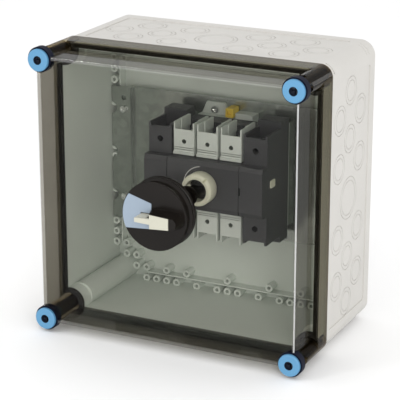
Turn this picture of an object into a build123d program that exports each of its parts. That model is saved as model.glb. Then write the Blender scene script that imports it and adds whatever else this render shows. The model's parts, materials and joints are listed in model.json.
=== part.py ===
"""Wall-mounted switch enclosure of a DC combiner: an insulated box with a tinted lift-off lid,
four quarter-turn lid fasteners and a rotary switch-disconnector on a mounting plate.

X points to the right, Y into the wall and Z up. The origin is the centre of the back face, which lies
on the wall, so the front of the box faces -Y. A "depth" below is a distance from the wall towards -Y.
"""

from build123d import *
import math
import os

# ---------------------------------------------------------------- driving dimensions (mm)
BOX = 300.0  # outside width and height of the base
BASE_DEPTH = 116.0  # wall to the joint between base and lid
CORNER_R = 16.0  # outer corner radius of the base
WALL = 3.0  # wall thickness of base and lid
BACK_RIM = 4.0  # how far the rim stands behind the back panel
RIM_W = 6.0  # width of that rim
FLOOR = 8.0  # depth of the inside face of the back panel

SKIRT_FRONT = 140.0  # depth of the front of the lid's skirt
SKIRT_R = 13.0  # corner radius of the skirt
LID_FRONT = 184.0  # depth of the front pane
LID_BOX = 286.0  # width and height of the lid's box in front of the skirt
LID_GAP = 0.2  # clearance between lid and base
TONGUE_DEPTH = 132.0  # depth of the front of the base's sealing tongue
TONGUE_OUT = 3.2  # how far the tongue's outer face lies inside the outside of the box
TONGUE_IN = 6.2  # the same for its inner face
SKIRT_T = 2.8  # wall thickness of the lid's skirt

BOLT_SPAN = 278.0  # spacing of the lid fasteners
BOSS_D = 21.5  # tubes in the lid around the fasteners
BOSS_FRONT = 176.0  # depth of the front of those tubes
COLLAR_SEAT_D = 27.0  # round cut-outs in the pane's corners for the fasteners
POST_SPAN = 272.0  # spacing of the corner posts in the base
POST_D = 27.0

GRID = 12.5  # pitch of the screw bosses on the floor
BOSS_TOP = 22.0  # depth of the tops of the floor bosses
PLATE_T = 2.0
PLATE_W = 292.0
PLATE_H = 150.0
PLATE_DROP = 6.0  # how far the middle of the plate lies behind its side strips
STRIP_W = 22.0  # width of each side strip
PLATE_FRONT = BOSS_TOP + PLATE_T - PLATE_DROP  # depth of the plate's working face

POLE = 27.0  # pole pitch of the switch
BLOCK_H = 54.0  # height of the switch's front block
BLOCK_FRONT = 97.0  # depth of the front of the switch
COVER_FRONT = 85.0  # depth of the front of the terminal covers
PLATFORM = 50.0  # depth of the terminal platform
SEAM = 0.3  # gap between neighbouring mouldings

EDGE_ROUND = 1.5  # rounding of the outer front edges of base and lid
ROOT = 0.5  # how far a boss or rib reaches into the floor under it
TUBE_CLEAR = 1.5  # from a fastener tube of the lid to the tongue around it
TUBE_COLLAR_T = 3.0  # thickness of the tongue where it passes round a tube

CLAMP_Z = 42.0  # distance of the terminal screws from the switch's axis
CONTACT_DEPTH = 56.0  # depth of the backs of the fixed contacts
CONTACT_T = 2.0
CONTACT_W = 8.0
CONTACT_SLOT_T = 2.4
CONTACT_SLOT_W = 9.4

FASTENERS = {  # signs of each fastener's place across and up
    "top_left": (-1, 1),
    "top_right": (1, 1),
    "bottom_left": (-1, -1),
    "bottom_right": (1, -1),
}

os.makedirs("parts", exist_ok=True)


def front(depth):
    """Plane facing the front at a depth: its x is X and its y is Z."""
    return Plane.XZ.offset(depth)


def side_plane(angle):
    """Plane on a side of the base: its x is the depth, its normal points out at this angle about Y."""
    out = Vector(math.cos(math.radians(angle)), 0, math.sin(math.radians(angle)))
    return Plane(origin=out * (BOX / 2), x_dir=(0, -1, 0), z_dir=out)


def on_circle(radius, degrees):
    """Point on a circle about the axis of the switch."""
    return radius * math.cos(math.radians(degrees)), radius * math.sin(math.radians(degrees))


def save(builder, label):
    builder.part.label = label
    export_step(builder.part, f"parts/{label}.step")


corners_of_bolts = GridLocations(BOLT_SPAN, BOLT_SPAN, 2, 2)
corners_of_posts = GridLocations(POST_SPAN, POST_SPAN, 2, 2)

# ---------------------------------------------------------------- base shell
PANEL_RECESS = 0.8
PANEL_BACK = 14.0
PANEL_FRONT = 112.0
PANEL_L = 256.0
KNOCKOUT_GROOVE = 0.8  # width of a knockout's groove
KNOCKOUT_DEPTH = 0.6
KNOCKOUT_STEP = 4.0  # between the two rings of a knockout
KNOCKOUT_COLUMNS = (37.0, 64.5, 92.0)  # depths of the three columns of knockouts
KNOCKOUT_LARGE_D = 45.0
KNOCKOUT_MIDDLE_D = 30.0
KNOCKOUT_OUTER_D = 31.0
PANEL_R = 3.0
CORNER_GROOVES = ((108.5, 3.0, 1.2), (22.0, 0.8, 0.6), (16.0, 0.8, 0.6))  # depth, width, how deep
CORNER_GROOVE_W = 14.0  # how far each reaches round the corner
GROOVE_TRIM_L = 30.0  # length of the strip that trims a groove to its corner
GROOVE_TRIM_OUT = 10.0  # how far that strip's middle lies outside the corner's centre
INSERT_BORE_D = 12.0
INSERT_DEPTH = 98.0  # depth of the bottom of the insert's bore
INSERT_BACKSET = 2.0  # from the rim to the front of the insert
FIXING_SPAN = 270.0  # spacing of the blind wall-fixing holes
FIXING_R = 2.5
FIXING_LENGTH = 14.0
FLOOR_BOSS_D = 8.6
FLOOR_BOSS_BORE_D = 4.0
FLOOR_BOSS_BORE_DEPTH = 12.0
FLOOR_RIB_T = 1.4
FLOOR_RIB_L = 17 * GRID
FLOOR_RIB_DROP = 1.5  # how far the ribs stay behind the tops of the bosses
POST_INSET = 1.0  # how far the posts stay inside the outer faces

outer_row = GRID * 11.5
inner_row = GRID * 10.5
wall_steps = (-8.5, -7.5, -6.5, -5.5, -3.5, -1.5, -0.5, 0.5, 2.5, 4.5, 5.5, 6.5, 7.5, 8.5)
along_wall = [GRID * n for n in wall_steps]
inner_along = [GRID * n for n in (-6.5, -4.5, -0.5, 3.5, 6.5)]
staircase = [(10.5, 8.5), (10.5, 9.5), (9.5, 9.5), (9.5, 10.5), (8.5, 10.5)]


def floor_boss_centres():
    points = []
    for s in (-1, 1):
        points += [(a, s * outer_row) for a in along_wall]
        points += [(s * outer_row, a) for a in along_wall]
        points += [(a, s * inner_row) for a in inner_along]
    for sx in (-1, 1):
        points += [(sx * inner_row, sz * 4 * GRID) for sz in (-1, 1)]
        points += [(sx * GRID * u, sz * GRID * v) for u, v in staircase for sz in (-1, 1)]
    return points


def knockout_rings():
    """Centre (depth, along) and diameter of each knockout on a side."""
    back, middle, near = KNOCKOUT_COLUMNS
    rings = [(middle, 0, KNOCKOUT_LARGE_D)]
    rings += [(middle, s * a, KNOCKOUT_MIDDLE_D) for s in (-1, 1) for a in (5 * GRID, 9 * GRID)]
    for column in (back, near):
        rings += [(column, s * a, KNOCKOUT_OUTER_D) for s in (-1, 1) for a in (3 * GRID, 7 * GRID)]
    return rings


with BuildPart() as base_shell:
    with BuildSketch(front(0)):
        RectangleRounded(BOX, BOX, CORNER_R)
    extrude(amount=BASE_DEPTH)
    fillet(base_shell.edges().group_by(Axis.Y)[-1], EDGE_ROUND)
    # the hollow, with a lip under the rim
    with BuildSketch(front(FLOOR)):
        RectangleRounded(BOX - 2 * WALL, BOX - 2 * WALL, CORNER_R - WALL)
    extrude(amount=BASE_DEPTH - WALL - FLOOR, mode=Mode.SUBTRACT)
    with BuildSketch(front(BASE_DEPTH - WALL)):
        Rectangle(BOX - 2 * TONGUE_IN, BOX - 2 * TONGUE_IN)
    extrude(amount=WALL, mode=Mode.SUBTRACT)
    with BuildSketch(front(0)):
        RectangleRounded(BOX - 2 * RIM_W, BOX - 2 * RIM_W, CORNER_R - RIM_W)
    extrude(amount=BACK_RIM, mode=Mode.SUBTRACT)
    # corner posts for the lid fasteners, from the wall to the rim
    with BuildSketch(front(0)):
        with corners_of_posts:
            Circle(POST_D / 2)
        post_limit = BOX - 2 * POST_INSET
        RectangleRounded(post_limit, post_limit, CORNER_R - POST_INSET, mode=Mode.INTERSECT)
    extrude(amount=BASE_DEPTH)
    # sealing tongue, running inside the fastener tubes of the lid
    with BuildSketch(front(BASE_DEPTH - WALL)):
        Rectangle(BOX - 2 * TONGUE_OUT, BOX - 2 * TONGUE_OUT)
        with corners_of_bolts:
            Circle(BOSS_D / 2 + TUBE_CLEAR, mode=Mode.SUBTRACT)
        Rectangle(BOX - 2 * TONGUE_IN, BOX - 2 * TONGUE_IN, mode=Mode.SUBTRACT)
    extrude(amount=TONGUE_DEPTH - BASE_DEPTH + WALL)
    with BuildSketch(front(BASE_DEPTH - WALL)):
        with corners_of_bolts:
            Circle(BOSS_D / 2 + TUBE_CLEAR + TUBE_COLLAR_T)
            Circle(BOSS_D / 2 + TUBE_CLEAR, mode=Mode.SUBTRACT)
        Rectangle(BOX - TONGUE_OUT - TONGUE_IN, BOX - TONGUE_OUT - TONGUE_IN, mode=Mode.INTERSECT)
    extrude(amount=TONGUE_DEPTH - BASE_DEPTH + WALL)
    # screw bosses and the ribs between their rows
    with BuildSketch(front(FLOOR - ROOT)):
        with Locations(*floor_boss_centres()):
            Circle(FLOOR_BOSS_D / 2)
    extrude(amount=BOSS_TOP - FLOOR + ROOT)
    rib_row = (outer_row + inner_row) / 2
    with BuildSketch(front(FLOOR - ROOT)):
        with GridLocations(0, 2 * rib_row, 1, 2):
            Rectangle(FLOOR_RIB_L, FLOOR_RIB_T)
        with GridLocations(2 * rib_row, 0, 2, 1):
            Rectangle(FLOOR_RIB_T, FLOOR_RIB_L)
    extrude(amount=BOSS_TOP - FLOOR - FLOOR_RIB_DROP)
    with BuildSketch(front(BOSS_TOP - FLOOR_BOSS_BORE_DEPTH)):
        with Locations(*floor_boss_centres()):
            Circle(FLOOR_BOSS_BORE_D / 2)
    extrude(amount=FLOOR_BOSS_BORE_DEPTH, mode=Mode.SUBTRACT)
    # bores for the threaded inserts, and blind holes for the wall fixings
    with BuildSketch(front(INSERT_DEPTH)):
        with corners_of_bolts:
            Circle(INSERT_BORE_D / 2)
    extrude(amount=BASE_DEPTH - INSERT_DEPTH, mode=Mode.SUBTRACT)
    with BuildSketch(front(0)):
        with GridLocations(FIXING_SPAN, FIXING_SPAN, 2, 2):
            Circle(FIXING_R)
    extrude(amount=FIXING_LENGTH, mode=Mode.SUBTRACT)
    # slots at the corners behind the rim, and two fine grooves near the wall
    for depth, width, deep in CORNER_GROOVES:
        for sx, sz in FASTENERS.values():
            x = sx * (BOX / 2 - CORNER_R)
            z = sz * (BOX / 2 - CORNER_R)
            with BuildSketch(front(depth)):
                with Locations((x, z)):
                    Circle(CORNER_R + 1)
                    Circle(CORNER_R - deep, mode=Mode.SUBTRACT)
                with Locations((x + GROOVE_TRIM_OUT * sx, z + GROOVE_TRIM_OUT * sz)):
                    turn = 45 * sx * sz
                    Rectangle(GROOVE_TRIM_L, CORNER_GROOVE_W, rotation=turn, mode=Mode.INTERSECT)
            extrude(amount=width, mode=Mode.SUBTRACT)
    # recessed side panels with knockouts
    for angle in (0, 90, 180, 270):
        with BuildSketch(side_plane(angle)):
            with Locations(((PANEL_BACK + PANEL_FRONT) / 2, 0)):
                RectangleRounded(PANEL_FRONT - PANEL_BACK, PANEL_L, PANEL_R)
        extrude(amount=-PANEL_RECESS, mode=Mode.SUBTRACT)
        with BuildSketch(side_plane(angle).offset(-PANEL_RECESS)):
            for depth, along, size in knockout_rings():
                with Locations((depth, along)):
                    Circle(size / 2)
                    Circle(size / 2 - KNOCKOUT_GROOVE, mode=Mode.SUBTRACT)
            for depth, along, size in knockout_rings():
                with Locations((depth, along)):
                    Circle(size / 2 - KNOCKOUT_STEP)
                    Circle(size / 2 - KNOCKOUT_STEP - KNOCKOUT_GROOVE, mode=Mode.SUBTRACT)
        extrude(amount=-KNOCKOUT_DEPTH, mode=Mode.SUBTRACT)
save(base_shell, "base_shell")

# ---------------------------------------------------------------- threaded inserts of the lid fasteners
INSERT_BOLT_D = 8.6

with BuildPart() as fastener_inserts:
    with BuildSketch(front(INSERT_DEPTH)):
        with corners_of_bolts:
            Circle(INSERT_BORE_D / 2)
            Circle(INSERT_BOLT_D / 2, mode=Mode.SUBTRACT)
    extrude(amount=BASE_DEPTH - INSERT_DEPTH - INSERT_BACKSET)
save(fastener_inserts, "fastener_inserts")

# ---------------------------------------------------------------- mounting plate
strip_centre = PLATE_W / 2 - STRIP_W / 2
middle_w = PLATE_W - 2 * STRIP_W
PLATE_SCREW_Z = 4 * GRID
PLATE_SCREW_HOLE_D = 4.4
SPARE_HOLE_D = 5.2
SPARE_HOLE_Z = 5 * GRID
EDGE_CUTOUT_D = 13.0
SWITCH_SCREW_X = 21.0
SWITCH_SCREW_Z = 62.0
SWITCH_SCREW_HOLE_D = 3.8

switch_screw_points = [(-SWITCH_SCREW_X, SWITCH_SCREW_Z), (SWITCH_SCREW_X, -SWITCH_SCREW_Z)]

with BuildPart() as mounting_plate:
    with BuildSketch(front(BOSS_TOP)):
        with GridLocations(2 * strip_centre, 0, 2, 1):
            Rectangle(STRIP_W, PLATE_H)
    extrude(amount=PLATE_T)
    with BuildSketch(front(PLATE_FRONT - PLATE_T)):
        Rectangle(middle_w, PLATE_H)
    extrude(amount=PLATE_T)
    with BuildSketch(front(PLATE_FRONT - PLATE_T)):
        with GridLocations(middle_w, 0, 2, 1):
            Rectangle(PLATE_T, PLATE_H)
    extrude(amount=PLATE_DROP + PLATE_T)
    # screw holes, spare holes and the cut-outs around the bosses at the edge
    with BuildSketch(front(PLATE_FRONT - PLATE_T)):
        with GridLocations(2 * inner_row, 2 * PLATE_SCREW_Z, 2, 2):
            Circle(PLATE_SCREW_HOLE_D / 2)
        with GridLocations(2 * inner_row, 2 * SPARE_HOLE_Z, 2, 2):
            Circle(SPARE_HOLE_D / 2)
        with Locations(*switch_screw_points):
            Circle(SWITCH_SCREW_HOLE_D / 2)
        with GridLocations(PLATE_W, 4 * GRID, 2, 3):
            Circle(EDGE_CUTOUT_D / 2)
    extrude(amount=PLATE_DROP + PLATE_T, mode=Mode.SUBTRACT)
save(mounting_plate, "mounting_plate")

PLATE_SCREW_HEAD_D = 8.4
SWITCH_SCREW_HEAD_D = 9.6
PAN_HEAD_H = 2.8
PAN_HEAD_TAPER = 12  # degrees
CROSS_L = 4.4
CROSS_W = 0.9
CROSS_DEEP = 1.6
PLATE_SCREW_D = 3.9
PLATE_SCREW_L = 11.0
SWITCH_SCREW_D = 3.7
SWITCH_SCREW_L = 6.0


def cross_slot(size, width):
    Rectangle(size, width)
    Rectangle(width, size)


def screws(points, seat, shank_d, shank_length, head_d):
    """Pan-head screws at (x, z) points, heads seated at one depth."""
    with BuildPart() as built:
        with BuildSketch(front(seat - shank_length)):
            with Locations(*points):
                Circle(shank_d / 2)
        extrude(amount=shank_length)
        with BuildSketch(front(seat)):
            with Locations(*points):
                Circle(head_d / 2)
        extrude(amount=PAN_HEAD_H, taper=PAN_HEAD_TAPER)
        with BuildSketch(front(seat + PAN_HEAD_H)):
            with Locations(*points):
                cross_slot(CROSS_L, CROSS_W)
        extrude(amount=-CROSS_DEEP, mode=Mode.SUBTRACT)
    return built


plate_screw_points = [(sx * inner_row, sz * PLATE_SCREW_Z) for sx in (-1, 1) for sz in (-1, 1)]
plate_front = BOSS_TOP + PLATE_T
plate_screws = screws(plate_screw_points, plate_front, PLATE_SCREW_D, PLATE_SCREW_L, PLATE_SCREW_HEAD_D)
save(plate_screws, "plate_screws")

# ---------------------------------------------------------------- base frame of the switch
FRAME_BACK = PLATE_FRONT
FRAME_FRONT = 30.0
FRAME_W = 5 * POLE - 8
FRAME_H = 114.0
EAR_T = 3.0
EAR_ROOT_Z = 50.0  # the ears start here, hidden in the frame
EAR_TIP_Z = 70.0
EAR_ROOT_W = 38.0
EAR_TIP_W = 21.0
EAR_HOLE_D = 4.2
NOTCH_W = 34.0
NOTCH_H = 5.0
NOTCH_LEFT_X = -55.0
NOTCH_RIGHT_X = 46.0
HOOK_ARM_W = 22.0
HOOK_ARM_H = 7.0
HOOK_ARM_PLACE = (17.0, 59.5)
HOOK_W = 4.0
HOOK_H = 4.8
HOOK_RISE = 4.0
HOOK_PLACE = (26.0, 60.6)

with BuildPart() as switch_frame:
    with BuildSketch(front(FRAME_BACK)):
        Rectangle(FRAME_W, FRAME_H)
    extrude(amount=FRAME_FRONT - FRAME_BACK)
    # notch at the left and the open bay right of the hook
    with BuildSketch(front(FRAME_BACK)):
        with Locations((NOTCH_LEFT_X, FRAME_H / 2), (NOTCH_RIGHT_X, FRAME_H / 2)):
            Rectangle(NOTCH_W, 2 * NOTCH_H)
    extrude(amount=FRAME_FRONT - FRAME_BACK, mode=Mode.SUBTRACT)
    # mounting ears around the switch's screws
    with BuildSketch(front(FRAME_BACK)):
        for s in (1, -1):
            with BuildLine():
                Polyline(
                    (s * (-SWITCH_SCREW_X - EAR_ROOT_W / 2), s * EAR_ROOT_Z),
                    (s * (-SWITCH_SCREW_X - EAR_TIP_W / 2), s * EAR_TIP_Z),
                    (s * (-SWITCH_SCREW_X + EAR_TIP_W / 2), s * EAR_TIP_Z),
                    (s * (-SWITCH_SCREW_X + EAR_ROOT_W / 2), s * EAR_ROOT_Z),
                    close=True,
                )
            make_face()
    extrude(amount=EAR_T)
    # hooked arm beside the marker clip
    with BuildSketch(front(FRAME_BACK)):
        with Locations(HOOK_ARM_PLACE):
            Rectangle(HOOK_ARM_W, HOOK_ARM_H)
    extrude(amount=FRAME_FRONT - FRAME_BACK)
    with BuildSketch(front(FRAME_FRONT)):
        with Locations(HOOK_PLACE):
            Rectangle(HOOK_W, HOOK_H)
    extrude(amount=HOOK_RISE)
    with BuildSketch(front(FRAME_BACK)):
        with Locations(*switch_screw_points):
            Circle(EAR_HOLE_D / 2)
    extrude(amount=EAR_T, mode=Mode.SUBTRACT)
save(switch_frame, "switch_frame")

ear_front = FRAME_BACK + EAR_T
switch_screws = screws(switch_screw_points, ear_front, SWITCH_SCREW_D, SWITCH_SCREW_L, SWITCH_SCREW_HEAD_D)
save(switch_screws, "switch_screws")

MARKER_PLACE = (1.0, 63.4)
MARKER_W = 9.0
MARKER_H = 10.0
MARKER_BACK = FRAME_BACK + 2.0
MARKER_L = 14.0
MARKER_POCKET = (5.0, 4.0)
MARKER_POCKET_DEEP = 3.0

with BuildPart() as marker_clip:
    with BuildSketch(front(MARKER_BACK)):
        with Locations(MARKER_PLACE):
            RectangleRounded(MARKER_W, MARKER_H, 1)
    extrude(amount=MARKER_L)
    with BuildSketch(front(MARKER_BACK + MARKER_L)):
        with Locations(MARKER_PLACE):
            Rectangle(*MARKER_POCKET)
    extrude(amount=-MARKER_POCKET_DEEP, mode=Mode.SUBTRACT)
save(marker_clip, "marker_clip")

# ---------------------------------------------------------------- switch housing, three poles
HOUSING_W = 3 * POLE + 1
CAVITY_BACK = 34.0
CAVITY_FRONT = 90.0
CAVITY_H = 46.0
CAVITY_WALL = 3.0
HUB_BORE_D = 24.6
WINDOW_DEPTH = 47.0
WINDOW_L = 20.0
WINDOW_H = 38.0
FRONT_CHAMFER = (2.2, 5.0)  # bevel of the front block's long edges
FIN_T = 1.4
FIN_H = 32.0
FIN_RISE = 28.0
FIN_SPAN = 86.0


def switch_block(width, centre):
    """Profile of a switch block seen from the side, swept over its width about a centre in X."""
    with BuildPart() as built:
        with BuildSketch(front(FRAME_FRONT)):
            with Locations((centre, 0)):
                Rectangle(width, FRAME_H)
        extrude(amount=PLATFORM - FRAME_FRONT)
        with BuildSketch(front(PLATFORM)):
            with Locations((centre, 0)):
                Rectangle(width, BLOCK_H)
        extrude(amount=BLOCK_FRONT - PLATFORM)
        chamfer(built.edges().filter_by(Axis.X).group_by(Axis.Y)[0], *FRONT_CHAMFER)
    return built


with BuildPart() as switch_housing:
    add(switch_block(HOUSING_W, 0).part)
    # hollow for the contact carriage, and the bore for the drive hub
    with BuildSketch(front(CAVITY_BACK)):
        Rectangle(HOUSING_W - 2 * CAVITY_WALL, CAVITY_H)
    extrude(amount=CAVITY_FRONT - CAVITY_BACK, mode=Mode.SUBTRACT)
    with BuildSketch(front(CAVITY_FRONT)):
        Circle(HUB_BORE_D / 2)
    extrude(amount=BLOCK_FRONT - CAVITY_FRONT, mode=Mode.SUBTRACT)
    # windows to the side blocks for the carriage
    with BuildSketch(front(WINDOW_DEPTH)):
        Rectangle(HOUSING_W, WINDOW_H)
    extrude(amount=WINDOW_L, mode=Mode.SUBTRACT)
    # slots for the fixed contacts
    with BuildSketch(front(CONTACT_DEPTH)):
        with GridLocations(POLE, 0, 3, 1):
            Rectangle(CONTACT_SLOT_W, BLOCK_H)
    extrude(amount=CONTACT_SLOT_T, mode=Mode.SUBTRACT)
    # fins between the poles
    with BuildSketch(front(PLATFORM)):
        with GridLocations(POLE, FIN_SPAN, 2, 2):
            Rectangle(FIN_T, FIN_H)
    extrude(amount=FIN_RISE)
save(switch_housing, "switch_housing")

# ---------------------------------------------------------------- side blocks: fourth pole and earth pole
SIDE_W = POLE - SEAM
SIDE_X = HOUSING_W / 2 + SEAM + SIDE_W / 2
SIDE_H = 132.0
SIDE_WALL = 2.5
SIDE_FACE_T = 3.0  # thickness of a tower's front wall
TOWER_H = 34.0
POCKET_Z = 50.0  # middle of a terminal pocket
MOUTH_Z = 62.0  # middle of the open end in a tower's front wall
MOUTH_H = 13.0
SIDE_SCREW_HOLE_D = 6.4
SIDE_WINDOW_SHIFT = 2.0  # the hollow for the carriage opens towards the housing
SIDE_SLOT_EXTRA = 14.0  # the contact slots run this much past the front block
GRIP_W = 1.8
GRIP_H = 8.0
GRIP_DEEP = 4.0


def side_block(s):
    """Side block with its own covered terminals, open towards the housing for the carriage."""
    centre = s * SIDE_X
    with BuildPart() as built:
        add(switch_block(SIDE_W, centre).part)
        # terminal towers above and below
        with BuildSketch(front(PLATFORM)):
            with GridLocations(0, 2 * CLAMP_Z, 1, 2):
                with Locations((centre, 0)):
                    Rectangle(SIDE_W, TOWER_H)
        extrude(amount=COVER_FRONT - PLATFORM)
        with BuildSketch(front(FRAME_FRONT)):
            with Locations((centre, 0)):
                Rectangle(SIDE_W, SIDE_H)
        extrude(amount=PLATFORM - FRAME_FRONT)
        # terminal pockets, open at the ends and at the front past the tower's face
        with BuildSketch(front(PLATFORM)):
            with GridLocations(0, 2 * POCKET_Z, 1, 2):
                with Locations((centre, 0)):
                    Rectangle(SIDE_W - 2 * SIDE_WALL, TOWER_H)
        extrude(amount=COVER_FRONT - PLATFORM - SIDE_FACE_T, mode=Mode.SUBTRACT)
        with BuildSketch(front(COVER_FRONT - SIDE_FACE_T)):
            with GridLocations(0, 2 * MOUTH_Z, 1, 2):
                with Locations((centre, 0)):
                    Rectangle(SIDE_W - 2 * SIDE_WALL, MOUTH_H)
        extrude(amount=SIDE_FACE_T, mode=Mode.SUBTRACT)
        # screw access in the front of each tower
        with BuildSketch(front(PLATFORM)):
            with GridLocations(0, 2 * CLAMP_Z, 1, 2):
                with Locations((centre, 0)):
                    Circle(SIDE_SCREW_HOLE_D / 2)
        extrude(amount=COVER_FRONT - PLATFORM, mode=Mode.SUBTRACT)
        # hollow for the carriage
        with BuildSketch(front(WINDOW_DEPTH)):
            with Locations((centre - s * SIDE_WINDOW_SHIFT, 0)):
                Rectangle(SIDE_W, WINDOW_H)
        extrude(amount=WINDOW_L, mode=Mode.SUBTRACT)
        with BuildSketch(front(CONTACT_DEPTH)):
            with Locations((centre, 0)):
                Rectangle(CONTACT_SLOT_W, BLOCK_H + SIDE_SLOT_EXTRA)
        extrude(amount=CONTACT_SLOT_T, mode=Mode.SUBTRACT)
        # grip slots in the front block
        with BuildSketch(front(BLOCK_FRONT)):
            with Locations((centre - s * (SIDE_W - GRIP_W) / 2, 0)):
                Rectangle(GRIP_W, GRIP_H)
        extrude(amount=-GRIP_DEEP, mode=Mode.SUBTRACT)
    return built


for name, s in (("side_block_left", -1), ("side_block_right", 1)):
    save(side_block(s), name)

INDICATOR_PLACE = (-72.0, 6.0)  # along Y and Z, on the right face of the right block
INDICATOR_W = 11.0
INDICATOR_H = 8.0
INDICATOR_T = 1.2

with BuildPart() as indicator_insert:
    with BuildSketch(Plane.YZ.offset(SIDE_X + SIDE_W / 2)):
        with Locations(INDICATOR_PLACE):
            RectangleRounded(INDICATOR_W, INDICATOR_H, 1.5)
    extrude(amount=INDICATOR_T)
save(indicator_insert, "indicator_insert")

# ---------------------------------------------------------------- terminal covers of the three poles
COVER_W = 23.6
COVER_BACK = PLATFORM + SEAM
COVER_ROOT = BLOCK_H / 2 + 1.0  # distance of the cover's near edge from the axis
COVER_TOP = 55.0
COVER_WALL_TOP = 62.5
COVER_T = 1.6
GUIDE_W = 1.2
GUIDE_H = 12.0
GUIDE_INSET = 1.0
SILL_DROP = 14.0  # how far the floor and the guides stay behind the face
LEDGE_H = 2.8
LEDGE_RISE = 1.2
LEDGE_EXTRA_W = 1.0
LINE_W = 0.7  # fine grooves across the face
LINE_DEEP = 0.5
LINE_PLACES = (5.2, 7.4)  # from the cover's near edge
COVER_HOLE_D = 4.8


def terminal_cover(centre, s):
    """U-shaped cover over a pole's terminal; s is +1 above the front block and -1 below it."""
    height = COVER_WALL_TOP - COVER_ROOT
    middle = s * (COVER_WALL_TOP + COVER_ROOT) / 2
    plate_middle = s * (COVER_TOP + COVER_ROOT) / 2
    with BuildPart() as built:
        with BuildSketch(front(COVER_BACK)):
            with Locations((centre, middle)):
                Rectangle(COVER_W, height)
                Rectangle(COVER_W - 2 * COVER_T, height, mode=Mode.SUBTRACT)
        extrude(amount=COVER_FRONT - COVER_BACK - COVER_T)
        with BuildSketch(front(COVER_FRONT - COVER_T)):
            with Locations((centre, plate_middle)):
                Rectangle(COVER_W, COVER_TOP - COVER_ROOT)
            with Locations((centre, middle)):
                Rectangle(COVER_W, height)
                Rectangle(COVER_W - 2 * COVER_T, height, mode=Mode.SUBTRACT)
            with Locations((centre, plate_middle)):
                Rectangle(COVER_W, COVER_TOP - COVER_ROOT)
        extrude(amount=COVER_T)
        # floor towards the front block, ledge and guide ribs
        with BuildSketch(front(COVER_BACK)):
            with Locations((centre, s * (COVER_ROOT + COVER_T / 2))):
                Rectangle(COVER_W, COVER_T)
            with GridLocations(COVER_W - 2 * COVER_T - GUIDE_INSET, 0, 2, 1):
                with Locations((centre, s * (COVER_WALL_TOP - GUIDE_H / 2))):
                    Rectangle(GUIDE_W, GUIDE_H)
        extrude(amount=COVER_FRONT - COVER_BACK - SILL_DROP)
        with BuildSketch(front(COVER_FRONT)):
            with Locations((centre, s * (COVER_ROOT + LEDGE_H / 2))):
                Rectangle(COVER_W + LEDGE_EXTRA_W, LEDGE_H)
        extrude(amount=LEDGE_RISE)
        with BuildSketch(front(COVER_FRONT)):
            for place in LINE_PLACES:
                with Locations((centre, s * (COVER_ROOT + place))):
                    Rectangle(COVER_W, LINE_W)
        extrude(amount=-LINE_DEEP, mode=Mode.SUBTRACT)
        # screw access in the face, and the slot that the fixed contact passes through
        with BuildSketch(front(COVER_FRONT + LEDGE_RISE)):
            with Locations((centre, s * CLAMP_Z)):
                Circle(COVER_HOLE_D / 2)
        extrude(amount=-COVER_T - LEDGE_RISE, mode=Mode.SUBTRACT)
        with BuildSketch(front(COVER_BACK)):
            with Locations((centre, s * COVER_ROOT)):
                Rectangle(CONTACT_SLOT_W, 4 * COVER_T)
        extrude(amount=CONTACT_DEPTH + CONTACT_SLOT_T - COVER_BACK, mode=Mode.SUBTRACT)
    return built


pole_centres = [-POLE, 0.0, POLE]
for index, centre in enumerate(pole_centres, start=1):
    save(terminal_cover(centre, 1), f"terminal_cover_top_{index}")
    save(terminal_cover(centre, -1), f"terminal_cover_bottom_{index}")

# ---------------------------------------------------------------- terminals and contacts
all_centres = [-SIDE_X] + pole_centres + [SIDE_X]
clamp_points = [(x, s * CLAMP_Z) for x in all_centres for s in (-1, 1)]
FIXED_END_TOP = 8.0
FIXED_END_BOTTOM = -6.0
FIXED_OUTER_END = 46.0
CLAMP_W = 12.0
CLAMP_H = 10.0
CLAMP_L = 13.0
CLAMP_FLOOR_T = 3.0
CLAMP_MOUTH_L = 8.0
CLAMP_HEAD_D = 5.6
CLAMP_HEAD_L = 8.0
CLAMP_CROSS_L = 3.8
CLAMP_CROSS_W = 0.8
CLAMP_CROSS_DEEP = 1.4

with BuildPart() as terminal_clamps:
    with BuildSketch(front(CONTACT_DEPTH - CLAMP_FLOOR_T)):
        with Locations(*clamp_points):
            Rectangle(CLAMP_W, CLAMP_H)
    extrude(amount=CLAMP_L)
    with BuildSketch(front(CONTACT_DEPTH)):
        with Locations(*clamp_points):
            Rectangle(CONTACT_SLOT_W, CLAMP_H)
    extrude(amount=CLAMP_MOUTH_L, mode=Mode.SUBTRACT)
save(terminal_clamps, "terminal_clamps")

with BuildPart() as fixed_contacts:
    with BuildSketch(front(CONTACT_DEPTH)):
        for x in all_centres:
            with Locations((x, (FIXED_END_TOP + FIXED_OUTER_END) / 2)):
                Rectangle(CONTACT_W, FIXED_OUTER_END - FIXED_END_TOP)
            with Locations((x, (FIXED_END_BOTTOM - FIXED_OUTER_END) / 2)):
                Rectangle(CONTACT_W, FIXED_OUTER_END + FIXED_END_BOTTOM)
    extrude(amount=CONTACT_T)
save(fixed_contacts, "fixed_contacts")

clamp_front = CONTACT_DEPTH - CLAMP_FLOOR_T + CLAMP_L

with BuildPart() as clamp_screws:
    with BuildSketch(front(clamp_front)):
        with Locations(*clamp_points):
            Circle(CLAMP_HEAD_D / 2)
    extrude(amount=CLAMP_HEAD_L)
    with BuildSketch(front(clamp_front + CLAMP_HEAD_L)):
        with Locations(*clamp_points):
            cross_slot(CLAMP_CROSS_L, CLAMP_CROSS_W)
    extrude(amount=-CLAMP_CROSS_DEEP, mode=Mode.SUBTRACT)
save(clamp_screws, "clamp_screws")

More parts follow.
